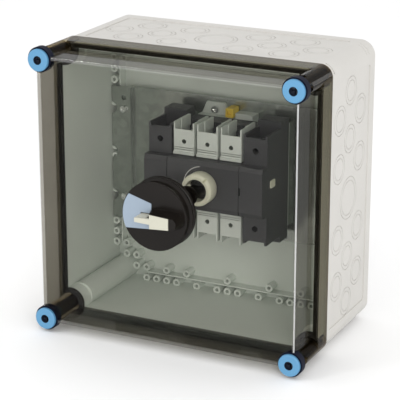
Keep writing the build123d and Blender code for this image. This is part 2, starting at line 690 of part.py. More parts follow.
# ---------------------------------------------------------------- contact carriage, driven by a crank pin
TRAVEL = 8.0  # travel of the carriage over a quarter turn
CRANK_X = -TRAVEL / 2
CRANK_Z = -TRAVEL / 2
PIN_D = 3.0
CARRIAGE_BACK = 60.0
CARRIAGE_T = 6.0
CARRIAGE_H = 12.0
CARRIAGE_END = 6.0  # how far the bar runs past the outer poles
YOKE_W = 30.0
YOKE_H = 18.0
YOKE_T = 7.0
PIN_SLOT_W = 9.0
PIN_SLOT_SHIFT = 0.8
PIN_CLEAR = 0.8
BLADE_T = 1.8
BLADE_GAP = 0.05  # between a blade and the bar that carries it
BLADE_W = 7.0
BLADE_H = 20.0
BLADE_Z = -8.0

with BuildPart() as contact_carriage:
    with BuildSketch(front(CARRIAGE_BACK)):
        Rectangle(2 * (SIDE_X + CARRIAGE_END), CARRIAGE_H)
    extrude(amount=CARRIAGE_T)
    with BuildSketch(front(CARRIAGE_BACK + CARRIAGE_T)):
        Rectangle(YOKE_W, YOKE_H)
    extrude(amount=YOKE_T)
    # slot in which the crank pin runs
    with BuildSketch(front(CARRIAGE_BACK + CARRIAGE_T)):
        with Locations((CRANK_X - PIN_SLOT_SHIFT, CRANK_Z)):
            Rectangle(PIN_SLOT_W, PIN_D + PIN_CLEAR)
    extrude(amount=YOKE_T, mode=Mode.SUBTRACT)
save(contact_carriage, "contact_carriage")

with BuildPart() as moving_contacts:
    with BuildSketch(front(CARRIAGE_BACK - BLADE_T)):
        with Locations(*[(x, BLADE_Z) for x in all_centres]):
            Rectangle(BLADE_W, BLADE_H)
    extrude(amount=BLADE_T - BLADE_GAP)
save(moving_contacts, "moving_contacts")

# ---------------------------------------------------------------- drive hub with its ivory ring
HUB_D = 24.0
RING_D = 34.5
RING_BORE_D = 24.0
RING_BACK = BLOCK_FRONT + 0.6
RING_FRONT = 113.0
RING_CHAMFER = 2.4
RING_OPEN_FROM = 166  # degrees, the open side of the C
RING_OPEN_TO = 247
RING_FLOOR_T = 2.0  # the ring stays whole behind its open side
RING_TRIM = 40.0  # reach of the wedge that cuts the open side
INDEX_R = 16.0
INDEX_ANGLE = 50
INDEX_L = 7.0
INDEX_W = 1.6
INDEX_DEEP = 4.0
DRIVE_SLOT_W = 3.4
DRIVE_SLOT_DEEP = 8.0
HUB_BACK = 78.0
HUB_FRONT = 101.0
CHEEK_R = 9.0
CHEEK_T = 4.0
PIN_END_GAP = 1.0  # from the pin's end to the floor of its slot

with BuildPart() as drive_hub:
    with BuildSketch(front(HUB_BACK)):
        Circle(HUB_D / 2)
    extrude(amount=HUB_FRONT - HUB_BACK)
    with BuildSketch(front(HUB_FRONT - DRIVE_SLOT_DEEP)):
        Rectangle(HUB_D, DRIVE_SLOT_W)
    extrude(amount=DRIVE_SLOT_DEEP, mode=Mode.SUBTRACT)
    # crank cheek and pin
    with BuildSketch(front(HUB_BACK - CHEEK_T)):
        Circle(CHEEK_R)
    extrude(amount=CHEEK_T)
    with BuildSketch(front(CARRIAGE_BACK + CARRIAGE_T + PIN_END_GAP)):
        with Locations((CRANK_X, CRANK_Z)):
            Circle(PIN_D / 2)
    extrude(amount=HUB_BACK - CARRIAGE_BACK - CARRIAGE_T - CHEEK_T)
save(drive_hub, "drive_hub")

with BuildPart() as drive_ring:
    with BuildSketch(front(RING_BACK)):
        Circle(RING_D / 2)
        Circle(RING_BORE_D / 2, mode=Mode.SUBTRACT)
    extrude(amount=RING_FRONT - RING_BACK)
    front_circles = drive_ring.edges().filter_by(GeomType.CIRCLE).group_by(Axis.Y)[0]
    chamfer(front_circles.sort_by(SortBy.RADIUS)[-1], RING_CHAMFER)
    # the open side of the C, and the index slot
    with BuildSketch(front(RING_BACK + RING_FLOOR_T)):
        with BuildLine():
            Polyline(
                (0, 0),
                on_circle(RING_TRIM, RING_OPEN_FROM),
                (-RING_TRIM, -RING_TRIM),
                on_circle(RING_TRIM, RING_OPEN_TO),
                close=True,
            )
        make_face()
    extrude(amount=RING_FRONT - RING_BACK, mode=Mode.SUBTRACT)
    with BuildSketch(front(RING_FRONT)):
        with PolarLocations(INDEX_R, 1, start_angle=INDEX_ANGLE):
            Rectangle(INDEX_L, INDEX_W)
    extrude(amount=-INDEX_DEEP, mode=Mode.SUBTRACT)
save(drive_ring, "drive_ring")

# ---------------------------------------------------------------- torsion spring of the snap action
SPRING_R = 14.6
SPRING_BORE_R = 13.2
SPRING_L = 9.0

with BuildPart() as snap_spring:
    with BuildSketch(front(HUB_BACK + 1)):
        Circle(SPRING_R)
        Circle(SPRING_BORE_R, mode=Mode.SUBTRACT)
    extrude(amount=SPRING_L)
save(snap_spring, "snap_spring")

# ---------------------------------------------------------------- lid
BOSS_BORE_D = 14.0
LID_BOX_R = 3.0
HANDLE_HOLE_D = 24.0
SKIRT_BACK = BASE_DEPTH + LID_GAP
SKIRT_CHAMFER = 1.2
WINDOW_BACK = BOSS_FRONT - 11.0  # the windows that show the coloured bolts
WINDOW_LENGTH = 8.0
WINDOW_WIDTH = 8.0
WINDOW_OUT = 9.5  # from a bolt's axis to the middle of its windows
WINDOW_THROUGH = 7.0

with BuildPart() as lid_shell:
    with BuildSketch(front(SKIRT_BACK)):
        RectangleRounded(BOX, BOX, SKIRT_R)
    extrude(amount=SKIRT_FRONT - SKIRT_BACK)
    chamfer(lid_shell.edges().group_by(Axis.Y)[0], SKIRT_CHAMFER)
    with BuildSketch(front(SKIRT_FRONT)):
        RectangleRounded(LID_BOX, LID_BOX, LID_BOX_R)
    extrude(amount=LID_FRONT - SKIRT_FRONT)
    fillet(lid_shell.edges().group_by(Axis.Y)[0], EDGE_ROUND)
    with BuildSketch(front(SKIRT_BACK)):
        Rectangle(BOX - 2 * SKIRT_T, BOX - 2 * SKIRT_T)
    extrude(amount=SKIRT_FRONT - SKIRT_BACK - WALL, mode=Mode.SUBTRACT)
    with BuildSketch(front(SKIRT_FRONT - WALL)):
        Rectangle(LID_BOX - 2 * WALL, LID_BOX - 2 * WALL)
    extrude(amount=LID_FRONT - SKIRT_FRONT, mode=Mode.SUBTRACT)
    # tubes around the fasteners; the pane is cut back where the heads sit
    with BuildSketch(front(SKIRT_BACK)):
        with corners_of_bolts:
            Circle(BOSS_D / 2)
        RectangleRounded(BOX, BOX, SKIRT_R, mode=Mode.INTERSECT)
    extrude(amount=LID_FRONT - SKIRT_BACK)
    with BuildSketch(front(BOSS_FRONT)):
        with corners_of_bolts:
            Circle(COLLAR_SEAT_D / 2)
    extrude(amount=LID_FRONT - BOSS_FRONT, mode=Mode.SUBTRACT)
    with BuildSketch(front(SKIRT_BACK)):
        with corners_of_bolts:
            Circle(BOSS_BORE_D / 2)
    extrude(amount=LID_FRONT - SKIRT_BACK, mode=Mode.SUBTRACT)
    # windows that show the coloured bolts
    with BuildSketch(front(WINDOW_BACK)):
        for sx, sz in FASTENERS.values():
            with Locations((sx * (BOLT_SPAN / 2 + WINDOW_OUT), sz * BOLT_SPAN / 2)):
                Rectangle(WINDOW_THROUGH, WINDOW_WIDTH)
            with Locations((sx * BOLT_SPAN / 2, sz * (BOLT_SPAN / 2 + WINDOW_OUT))):
                Rectangle(WINDOW_WIDTH, WINDOW_THROUGH)
    extrude(amount=WINDOW_LENGTH, mode=Mode.SUBTRACT)
    with BuildSketch(front(LID_FRONT - WALL)):
        Circle(HANDLE_HOLE_D / 2)
    extrude(amount=WALL, mode=Mode.SUBTRACT)
save(lid_shell, "lid_shell")

GASKET_BACK = TONGUE_DEPTH + 0.1
GASKET_TUBE_CLEAR = 0.8
GASKET_COLLAR_OUT = 5.2  # outer edge of the gasket's collars, from the tube
GASKET_COLLAR_INSET = 1.0
GASKET_OUT = 3.0  # how far the gasket's outer edge lies inside the outside of the box
GASKET_IN = 7.0

with BuildPart() as lid_gasket:
    with BuildSketch(front(GASKET_BACK)):
        Rectangle(BOX - 2 * GASKET_OUT, BOX - 2 * GASKET_OUT)
        with corners_of_bolts:
            Circle(BOSS_D / 2 + GASKET_TUBE_CLEAR, mode=Mode.SUBTRACT)
        Rectangle(BOX - 2 * GASKET_IN, BOX - 2 * GASKET_IN, mode=Mode.SUBTRACT)
    extrude(amount=SKIRT_FRONT - WALL - GASKET_BACK)
    with BuildSketch(front(GASKET_BACK)):
        with corners_of_bolts:
            Circle(BOSS_D / 2 + GASKET_COLLAR_OUT)
            Circle(BOSS_D / 2 + GASKET_TUBE_CLEAR, mode=Mode.SUBTRACT)
        collar_limit = BOX - 2 * (GASKET_OUT + GASKET_COLLAR_INSET)
        Rectangle(collar_limit, collar_limit, mode=Mode.INTERSECT)
    extrude(amount=SKIRT_FRONT - WALL - GASKET_BACK)
save(lid_gasket, "lid_gasket")

# ---------------------------------------------------------------- lid fasteners
CAP_D = 23.0
CAP_BACK = 184.6
NECK_OF_CAP_D = 17.4
CAP_FRONT = 188.0
COLLAR_D = 26.2
SOCKET_D = 9.0
BOLT_HEAD_D = 13.2
BOLT_SHANK_D = 8.0
BOLT_END = INSERT_DEPTH + 2.0
BODY_BACK = BASE_DEPTH + 4.0  # depth of the step from the bolt's body to its shank
CAP_CHAMFER = 0.8
SOCKET_DEEP = 5.0
SOCKET_CROSS_L = 8.0
SOCKET_CROSS_W = 1.6
SOCKET_CROSS_DEEP = 3.0
COLLAR_GAP = 0.3
COLLAR_BORE_CLEAR = 0.1

for name, (sx, sz) in FASTENERS.items():
    x = sx * BOLT_SPAN / 2
    z = sz * BOLT_SPAN / 2
    with BuildPart() as fastener_bolt:
        with BuildSketch(front(BOSS_FRONT + COLLAR_GAP)):
            with Locations((x, z)):
                Circle(NECK_OF_CAP_D / 2)
        extrude(amount=CAP_BACK - BOSS_FRONT)
        with BuildSketch(front(CAP_BACK)):
            with Locations((x, z)):
                Circle(CAP_D / 2)
        extrude(amount=CAP_FRONT - CAP_BACK)
        chamfer(fastener_bolt.edges().group_by(Axis.Y)[0], CAP_CHAMFER)
        with BuildSketch(front(BODY_BACK)):
            with Locations((x, z)):
                Circle(BOLT_HEAD_D / 2)
        extrude(amount=BOSS_FRONT - BODY_BACK + ROOT)
        with BuildSketch(front(BOLT_END)):
            with Locations((x, z)):
                Circle(BOLT_SHANK_D / 2)
        extrude(amount=BODY_BACK - BOLT_END)
        # screwdriver socket with a cross in its floor
        with BuildSketch(front(CAP_FRONT)):
            with Locations((x, z)):
                Circle(SOCKET_D / 2)
        extrude(amount=-SOCKET_DEEP, mode=Mode.SUBTRACT)
        with BuildSketch(front(CAP_FRONT - SOCKET_DEEP)):
            with Locations((x, z)):
                cross_slot(SOCKET_CROSS_L, SOCKET_CROSS_W)
        extrude(amount=-SOCKET_CROSS_DEEP, mode=Mode.SUBTRACT)
    save(fastener_bolt, f"fastener_bolt_{name}")
    with BuildPart() as fastener_collar:
        with BuildSketch(front(BOSS_FRONT + COLLAR_GAP)):
            with Locations((x, z)):
                Circle(COLLAR_D / 2)
                Circle(NECK_OF_CAP_D / 2 + COLLAR_BORE_CLEAR, mode=Mode.SUBTRACT)
        extrude(amount=CAP_BACK - BOSS_FRONT - 2 * COLLAR_GAP)
    save(fastener_collar, f"fastener_collar_{name}")

# ---------------------------------------------------------------- rotary handle
BEZEL_D = 72.6
BEZEL_BACK = LID_FRONT
BEZEL_FRONT = 188.0
NECK_D = 23.6
NECK_BORE_D = 15.4
NECK_END = 172.0
NUT_BACK = 174.0
SEAL_D = 24.0
SEAL_T = 3.0
SHAFT_D = 14.6
BEZEL_CHAMFER = 1.2
SEAL_SEAT_CLEAR = 0.1
SEAL_SINK = 0.4  # how far the seal lies behind the bezel's face
SEAL_SHAFT_CLEAR = 0.35
NUT_R = 17.5  # to the corners of the hexagon

with BuildPart() as handle_bezel:
    with BuildSketch(front(BEZEL_BACK)):
        Circle(BEZEL_D / 2)
    extrude(amount=BEZEL_FRONT - BEZEL_BACK)
    chamfer(handle_bezel.edges().group_by(Axis.Y)[0], BEZEL_CHAMFER)
    with BuildSketch(front(NECK_END)):
        Circle(NECK_D / 2)
    extrude(amount=BEZEL_FRONT - NECK_END)
    with BuildSketch(front(NECK_END)):
        Circle(NECK_BORE_D / 2)
    extrude(amount=BEZEL_FRONT - NECK_END, mode=Mode.SUBTRACT)
    with BuildSketch(front(BEZEL_FRONT)):
        Circle(SEAL_D / 2 + SEAL_SEAT_CLEAR)
    extrude(amount=-SEAL_T - SEAL_SINK, mode=Mode.SUBTRACT)
save(handle_bezel, "handle_bezel")

with BuildPart() as handle_seal:
    with BuildSketch(front(BEZEL_FRONT - SEAL_T - SEAL_SINK)):
        Circle(SEAL_D / 2)
        Circle(SHAFT_D / 2 + SEAL_SHAFT_CLEAR, mode=Mode.SUBTRACT)
    extrude(amount=SEAL_T)
save(handle_seal, "handle_seal")

with BuildPart() as handle_nut:
    with BuildSketch(front(NUT_BACK)):
        RegularPolygon(NUT_R, 6)
        Circle(NECK_D / 2, mode=Mode.SUBTRACT)
    extrude(amount=LID_FRONT - WALL - NUT_BACK)
save(handle_nut, "handle_nut")

KNOB_R = 36.0
KNOB_BACK = BEZEL_FRONT + 0.4
FACE_DEPTH = 205.0  # depth of the knob's face
GRIP_FRONT = 220.0  # depth of the top of the grip
SHAFT_END = 133.0
FLANGE_D = 21.5
FLANGE_T = 3.0
BLADE_BITE = 3.5  # how far the shaft's blade reaches into the hub
SHAFT_BLADE_W = 21.0
SHAFT_BLADE_T = 2.6

# half outline of the knob: radius and depth, from the back to the face
knob_profile = [
    (KNOB_R - 1.0, KNOB_BACK),
    (KNOB_R, KNOB_BACK + 1.0),
    (KNOB_R, KNOB_BACK + 3.0),
    (KNOB_R - 2.2, KNOB_BACK + 5.4),
    (KNOB_R - 2.4, KNOB_BACK + 8.0),
    (KNOB_R - 1.0, KNOB_BACK + 12.6),
    (KNOB_R - 0.4, FACE_DEPTH - 1.2),
    (KNOB_R - 1.2, FACE_DEPTH),
]


def grip_outline(left, right, tip, left_half, right_half):
    """Closed outline of the grip at one level: straight sides and a rounded tip at the right."""
    Polyline((right, right_half), (left, left_half), (left, -left_half), (right, -right_half))
    ThreePointArc((right, -right_half), (tip, 0), (right, right_half))


with BuildPart() as handle_knob:
    with BuildSketch(Plane.XY):
        with BuildLine():
            Polyline((0, -KNOB_BACK), *[(r, -d) for r, d in knob_profile], (0, -FACE_DEPTH), close=True)
        make_face()
    revolve(axis=Axis.Y)
    with BuildSketch(front(FACE_DEPTH)):
        with BuildLine():
            grip_outline(-2, 29, 34.0, 8.8, 8.3)
        make_face()
    with BuildSketch(front(GRIP_FRONT)):
        with BuildLine():
            grip_outline(2.5, 25.5, 31.6, 7.6, 5.9)
        make_face()
    loft()
save(handle_knob, "handle_knob")

SECTOR_R = 34.4
SECTOR_T = 0.5
SECTOR_FROM = 143.0  # degrees
SECTOR_TO = 206.0
SECTOR_EDGE_X = -2.4  # the sector's straight edge, beside the grip
SECTOR_EDGE_TOP = 13.4
SECTOR_EDGE_BOTTOM = -13.0

with BuildPart() as handle_sector:
    with BuildSketch(front(FACE_DEPTH)):
        with BuildLine():
            CenterArc((0, 0), SECTOR_R, SECTOR_FROM, SECTOR_TO - SECTOR_FROM)
            Polyline(
                on_circle(SECTOR_R, SECTOR_FROM),
                (SECTOR_EDGE_X, SECTOR_EDGE_TOP),
                (SECTOR_EDGE_X, SECTOR_EDGE_BOTTOM),
                on_circle(SECTOR_R, SECTOR_TO),
            )
        make_face()
        with Locations((-8, 0)):
            Rectangle(13, 6.4, mode=Mode.SUBTRACT)
        Rectangle(5, 19, mode=Mode.SUBTRACT)
    extrude(amount=SECTOR_T)
save(handle_sector, "handle_sector")

with BuildPart() as handle_pointer:
    with BuildSketch(front(GRIP_FRONT)):
        Polygon((3.0, 7.2), (23.6, 5.8), (23.6, -5.8), (3.0, -7.2), align=None)
    extrude(amount=0.8)
    with BuildSketch(front(FACE_DEPTH)):
        Polygon((-13.5, 2.2), (-2.4, 2.7), (-2.4, -2.7), (-13.5, -2.2), align=None)
    extrude(amount=GRIP_FRONT + 0.8 - FACE_DEPTH)
    with BuildSketch(front(GRIP_FRONT - 2.6)):
        Polygon((-3.0, 2.7), (3.6, 2.8), (3.6, -2.8), (-3.0, -2.7), align=None)
    extrude(amount=3.4)
    add(handle_knob.part, mode=Mode.SUBTRACT)
save(handle_pointer, "handle_pointer")

with BuildPart() as handle_shaft:
    with BuildSketch(front(SHAFT_END)):
        Circle(SHAFT_D / 2)
    extrude(amount=KNOB_BACK - SHAFT_END)
    with BuildSketch(front(SHAFT_END - FLANGE_T)):
        Circle(FLANGE_D / 2)
    extrude(amount=FLANGE_T)
    with BuildSketch(front(HUB_FRONT - BLADE_BITE)):
        Rectangle(SHAFT_BLADE_W, SHAFT_BLADE_T)
    extrude(amount=SHAFT_END - FLANGE_T - HUB_FRONT + BLADE_BITE)
save(handle_shaft, "handle_shaft")
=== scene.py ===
"""Looks of the switch enclosure: a node-built material for every moulded, metal and clear piece, a
printed arc on the switch, a pale studio and the camera. Lengths are in metres.
"""

import json
import math

import bpy
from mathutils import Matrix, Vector


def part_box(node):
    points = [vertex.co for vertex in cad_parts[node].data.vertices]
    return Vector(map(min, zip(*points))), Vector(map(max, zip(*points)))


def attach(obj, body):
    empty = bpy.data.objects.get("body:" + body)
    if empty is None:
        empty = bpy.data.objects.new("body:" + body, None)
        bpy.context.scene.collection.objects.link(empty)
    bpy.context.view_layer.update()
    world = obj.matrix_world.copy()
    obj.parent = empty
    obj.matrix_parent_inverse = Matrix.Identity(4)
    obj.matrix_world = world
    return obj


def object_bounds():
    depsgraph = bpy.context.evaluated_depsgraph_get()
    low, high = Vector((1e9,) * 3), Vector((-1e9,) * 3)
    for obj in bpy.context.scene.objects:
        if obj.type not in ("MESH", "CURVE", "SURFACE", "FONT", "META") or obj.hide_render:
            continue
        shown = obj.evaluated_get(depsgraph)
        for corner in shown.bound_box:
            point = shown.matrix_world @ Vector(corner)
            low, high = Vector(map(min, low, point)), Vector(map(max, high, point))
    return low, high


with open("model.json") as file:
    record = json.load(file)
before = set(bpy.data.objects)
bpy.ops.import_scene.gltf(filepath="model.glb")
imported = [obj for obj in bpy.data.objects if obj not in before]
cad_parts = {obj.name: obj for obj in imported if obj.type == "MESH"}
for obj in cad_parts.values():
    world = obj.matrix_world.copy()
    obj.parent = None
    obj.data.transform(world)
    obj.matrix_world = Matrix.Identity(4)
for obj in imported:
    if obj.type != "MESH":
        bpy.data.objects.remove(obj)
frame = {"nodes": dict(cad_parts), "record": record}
nodes = frame["nodes"]
lo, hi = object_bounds()


def middle_of(node):
    low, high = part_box(node)
    return (low + high) / 2


# ---------------------------------------------------------------- places on the object
HALF_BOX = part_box("base_shell")[1].x
LID_FRONT = -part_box("lid_shell")[0].y
HOUSING_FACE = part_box("switch_housing")[0].y
BOLT_REACH = middle_of("fastener_bolt_top_right").x  # the fasteners' distance across and up

INSIDE_REACH = HALF_BOX - 0.0025  # between the outer and inner faces of the base's walls
INSIDE_BACK = 0.0079  # the painted light of the inside tone starts in front of this depth
CORNER_CUT = 0.009  # keeps the rounded outer corners out of the painted light of the inside tone
BLUE_FROM = 0.163  # the fasteners are blue in front of this depth
SOCKET_R = 0.00455  # just past the wall of a fastener's driving socket; inside it the blue is darkened as painted shade
TUBE_R = 0.0110  # just outside the lid's tubes around the fasteners
WALL_IN = 0.1395  # just inside the walls between skirt and pane
SKIRT_IN = 0.1434  # the skirt is what lies outside this distance across or up
LID_EDGE = 0.1417  # the polished edge around the front pane lies outside this distance
EDGE_DEPTH = 0.0012  # how far the polished edge reaches back from the pane's face

COLOUR_A, COLOUR_B, COLOUR_OUT = 6, 7, 2  # sockets of a Mix node that mixes colours


def shade(colour, factor):
    return tuple(c * factor for c in colour)


# ---------------------------------------------------------------- shader helpers
class Shader:
    """A material's node tree, with short calls for the nodes used here."""

    def __init__(self, name):
        self.material = bpy.data.materials.get(name) or bpy.data.materials.new(name)
        self.material.use_nodes = True
        self.tree = self.material.node_tree
        self.tree.nodes.clear()
        self.out = self.add("ShaderNodeOutputMaterial")
        self.where = self.add("ShaderNodeTexCoord").outputs["Object"]

    def add(self, kind, **values):
        node = self.tree.nodes.new(kind)
        for key, value in values.items():
            setattr(node, key, value)
        return node

    def link(self, a, b):
        self.tree.links.new(a, b)

    def place(self):
        """Outputs X, Y and Z of a point's place."""
        split = self.add("ShaderNodeSeparateXYZ")
        self.link(self.where, split.inputs["Vector"])
        return split.outputs

    def noise(self, scale, detail=3.0, rough=0.55, stretch=None):
        where = self.where
        if stretch:
            mapping = self.add("ShaderNodeMapping")
            mapping.inputs["Scale"].default_value = stretch
            self.link(self.where, mapping.inputs["Vector"])
            where = mapping.outputs["Vector"]
        node = self.add("ShaderNodeTexNoise")
        node.inputs["Scale"].default_value = scale
        node.inputs["Detail"].default_value = detail
        node.inputs["Roughness"].default_value = rough
        self.link(where, node.inputs["Vector"])
        return node.outputs["Fac"]

    def ramp(self, factor, stops):
        node = self.add("ShaderNodeValToRGB")
        elements = node.color_ramp.elements
        for element, (position, colour) in zip(elements, (stops[0], stops[-1])):
            element.position = position
            element.color = (*colour, 1)
        for position, colour in stops[1:-1]:
            elements.new(position).color = (*colour, 1)
        self.link(factor, node.inputs["Fac"])
        return node.outputs["Color"]

    def tones(self, factor, colour, mottle):
        """A colour that drifts darker and lighter by the share mottle."""
        return self.ramp(factor, [(0.3, shade(colour, 1 - mottle)), (0.7, shade(colour, 1 + mottle))])

    def span(self, factor, low, high):
        node = self.add("ShaderNodeMapRange")
        node.inputs["To Min"].default_value = low
        node.inputs["To Max"].default_value = high
        self.link(factor, node.inputs["Value"])
        return node.outputs["Result"]

    def math(self, operation, *values):
        node = self.add("ShaderNodeMath", operation=operation)
        for socket, value in zip(node.inputs, values):
            if hasattr(value, "links"):
                self.link(value, socket)
            else:
                socket.default_value = value
        return node.outputs[0]

    def two_tone(self, mask, first, second):
        node = self.add("ShaderNodeMix", data_type="RGBA")
        self.link(mask, node.inputs["Factor"])
        self.link(first, node.inputs[COLOUR_A])
        self.link(second, node.inputs[COLOUR_B])
        return node.outputs[COLOUR_OUT]

    def multiplied(self, colour, other):
        node = self.add("ShaderNodeMix", data_type="RGBA", blend_type="MULTIPLY")
        node.inputs["Factor"].default_value = 1.0
        self.link(colour, node.inputs[COLOUR_A])
        self.link(other, node.inputs[COLOUR_B])
        return node.outputs[COLOUR_OUT]

    def darker_where(self, mask, colour, tint):
        """Multiplies a colour by a tint where the mask is 1."""
        node = self.add("ShaderNodeMix", data_type="RGBA", blend_type="MULTIPLY")
        node.inputs[COLOUR_B].default_value = (*tint, 1)
        self.link(mask, node.inputs["Factor"])
        self.link(colour, node.inputs[COLOUR_A])
        return node.outputs[COLOUR_OUT]

    def bump(self, height, strength, distance):
        node = self.add("ShaderNodeBump")
        node.inputs["Strength"].default_value = strength
        node.inputs["Distance"].default_value = distance
        self.link(height, node.inputs["Height"])
        return node.outputs["Normal"]

    def principled(self, **values):
        node = self.add("ShaderNodeBsdfPrincipled")
        for key, value in values.items():
            node.inputs[key.replace("_", " ")].default_value = value
        self.link(node.outputs["BSDF"], self.out.inputs["Surface"])
        return node


# ---------------------------------------------------------------- masks by place
def painted_light_inside_mask(s):
    """1 on the inside of the base, where its grey is painted lighter and greener as painted light for the
    shaded box.
    """
    place = s.place()
    across = s.math("ABSOLUTE", place["X"])
    up = s.math("ABSOLUTE", place["Z"])
    mask = s.math("LESS_THAN", across, INSIDE_REACH)
    for other in (
        s.math("LESS_THAN", up, INSIDE_REACH),
        s.math("LESS_THAN", place["Y"], -INSIDE_BACK),
        s.math("LESS_THAN", s.math("ADD", across, up), 2 * INSIDE_REACH - CORNER_CUT),
    ):
        mask = s.math("MULTIPLY", mask, other)
    return mask


def near_fastener(s, radius):
    """1 nearer than radius to the axis of a fastener."""
    place = s.place()
    squares = []
    for axis in ("X", "Z"):
        off = s.math("SUBTRACT", s.math("ABSOLUTE", place[axis]), BOLT_REACH)
        squares.append(s.math("MULTIPLY", off, off))
    return s.math("LESS_THAN", s.math("ADD", *squares), radius**2)


def behind(s, depth):
    """1 nearer to the wall than a depth."""
    return s.math("GREATER_THAN", s.place()["Y"], -depth)


def skirt_mask(s):
    """1 on the skirt around the lid's box."""
    place = s.place()
    outermost = s.math("MAXIMUM", s.math("ABSOLUTE", place["X"]), s.math("ABSOLUTE", place["Z"]))
    return s.math("GREATER_THAN", outermost, SKIRT_IN)


def edge_shine(s):
    """Extra gloss on the polished edge around the front pane: most on the upright edges."""
    place = s.place()
    shine = []
    for axis, amount in (("X", 0.55), ("Z", 0.12)):
        out = s.math("GREATER_THAN", s.math("ABSOLUTE", place[axis]), LID_EDGE)
        shine.append(s.math("MULTIPLY", out, amount))
    near = s.math("LESS_THAN", place["Y"], -LID_FRONT + EDGE_DEPTH)
    return s.math("MULTIPLY", s.math("MAXIMUM", *shine), near)


def wall_shine(s):
    """Extra gloss on the walls between the skirt and the front pane, above and below."""
    up = s.math("ABSOLUTE", s.place()["Z"])
    wall = s.math("MULTIPLY", s.math("GREATER_THAN", up, WALL_IN), s.math("LESS_THAN", up, SKIRT_IN))
    return s.math("MULTIPLY", wall, 0.11)


# ---------------------------------------------------------------- kinds of material
DRIFT_SCALE = 14.0  # slow drift of tone over a moulding
MOULD_GRAIN = 2200.0  # fine eroded texture of a mould


def grained(s, body, grain, rough, bump, depth):
    """Uneven gloss and a fine texture from one noise."""
    fine = s.noise(grain, 2.0)
    s.link(s.span(fine, *rough), body.inputs["Roughness"])
    s.link(s.bump(fine, bump, depth), body.inputs["Normal"])


def plastic(
    name, colour, rough=(0.38, 0.52), mottle=0.05, grain=MOULD_GRAIN, bump=0.2, coat=0.0, specular=0.5
):
    """Moulded plastic: a faint drift of tone, and a fine eroded texture."""
    s = Shader(name)
    body = s.principled(Coat_Weight=coat, Coat_Roughness=0.08, Specular_IOR_Level=specular)
    drift = s.noise(DRIFT_SCALE, 4.0)
    s.link(s.tones(drift, colour, mottle), body.inputs["Base Color"])
    grained(s, body, grain, rough, bump, 0.00012)
    return s.material


def two_tone_plastic(
    name, colour, second, mask_of, rough=(0.42, 0.55), mottle=0.03, bump=0.2, painted_shade_of=None
):
    """Moulded plastic whose second tone shows where mask_of says, darkened by painted shade where the last
    argument's mask and tint say.
    """
    s = Shader(name)
    body = s.principled()
    drift = s.noise(DRIFT_SCALE, 4.0)
    both = s.two_tone(mask_of(s), s.tones(drift, colour, mottle), s.tones(drift, second, mottle))
    if painted_shade_of:
        # painted shade: the colour is multiplied by the tint where the mask is 1
        mask, tint = painted_shade_of(s)
        both = s.darker_where(mask, both, tint)
    s.link(both, body.inputs["Base Color"])
    grained(s, body, MOULD_GRAIN, rough, bump, 0.0001)
    return s.material


def metal(name, colour, rough=(0.22, 0.4), stretch=None):
    """Bare or plated metal with streaks or grain."""
    s = Shader(name)
    body = s.principled(Metallic=1.0)
    grain = s.noise(60.0, 5.0, 0.6, stretch)
    s.link(s.tones(grain, colour, 0.12), body.inputs["Base Color"])
    s.link(s.span(grain, *rough), body.inputs["Roughness"])
    s.link(s.bump(grain, 0.15, 0.0001), body.inputs["Normal"])
    return s.material


def spangle(name, colour):
    """Galvanised sheet: flat crystals a few millimetres wide, each with its own tone."""
    s = Shader(name)
    body = s.principled(Metallic=0.85)
    cells = s.add("ShaderNodeTexVoronoi")
    cells.inputs["Scale"].default_value = 160.0
    s.link(s.where, cells.inputs["Vector"])
    tone = s.add("ShaderNodeSeparateColor")
    s.link(cells.outputs["Color"], tone.inputs["Color"])
    colours = s.ramp(tone.outputs["Red"], [(0.0, shade(colour, 0.88)), (1.0, shade(colour, 1.1))])
    s.link(colours, body.inputs["Base Color"])
    s.link(s.span(s.noise(40.0), 0.2, 0.3), body.inputs["Roughness"])
    return s.material


# the way of light through the lid, in wall thicknesses, by its cosine to the wall's normal; the
# peak at 0.45 darkens the sides of the lid's box
WAY_THROUGH = ((1.0, 1.0), (0.8, 1.1), (0.6, 2.4), (0.45, 8.2), (0.32, 2.8), (0.1, 7.0))
TUBE_TINT = (0.74, 0.67, 0.55)
SKIRT_TINT = (0.87, 0.85, 0.79)
MIRROR_POWER = 7.0  # how late the gloss rises towards grazing views
MIRROR_FACE_ON = 0.006


def smoked(name, face_on):
    """Smoke-tinted clear moulding. Slanting ways through the wall are longer, and come out darker."""
    s = Shader(name)
    slant = s.add("ShaderNodeLayerWeight")
    slant.inputs["Blend"].default_value = 0.5
    facing = slant.outputs["Facing"]
    stops = [(1 - cosine, tuple(t**walls for t in face_on)) for cosine, walls in WAY_THROUGH]
    flow = s.ramp(s.noise(3.0, 2.0), [(0.3, (0.985, 0.985, 0.985)), (0.7, (1.0, 1.0, 1.0))])
    tint = s.multiplied(s.ramp(facing, stops), flow)
    tint = s.darker_where(near_fastener(s, TUBE_R), tint, TUBE_TINT)
    tint = s.darker_where(skirt_mask(s), tint, SKIRT_TINT)
    clear = s.add("ShaderNodeBsdfTransparent")
    s.link(tint, clear.inputs["Color"])
    gloss = s.add("ShaderNodeBsdfGlossy")
    gloss.inputs["Color"].default_value = (0.9, 0.9, 0.9, 1)
    s.link(s.span(s.noise(9.0), 0.03, 0.06), gloss.inputs["Roughness"])
    mirror = s.math("ADD", s.math("POWER", facing, MIRROR_POWER), MIRROR_FACE_ON)
    mirror = s.math("MAXIMUM", mirror, s.math("MAXIMUM", edge_shine(s), wall_shine(s)))
    mix = s.add("ShaderNodeMixShader")
    s.link(mirror, mix.inputs[0])
    s.link(clear.outputs["BSDF"], mix.inputs[1])
    s.link(gloss.outputs["BSDF"], mix.inputs[2])
    s.link(mix.outputs["Shader"], s.out.inputs["Surface"])
    return s.material


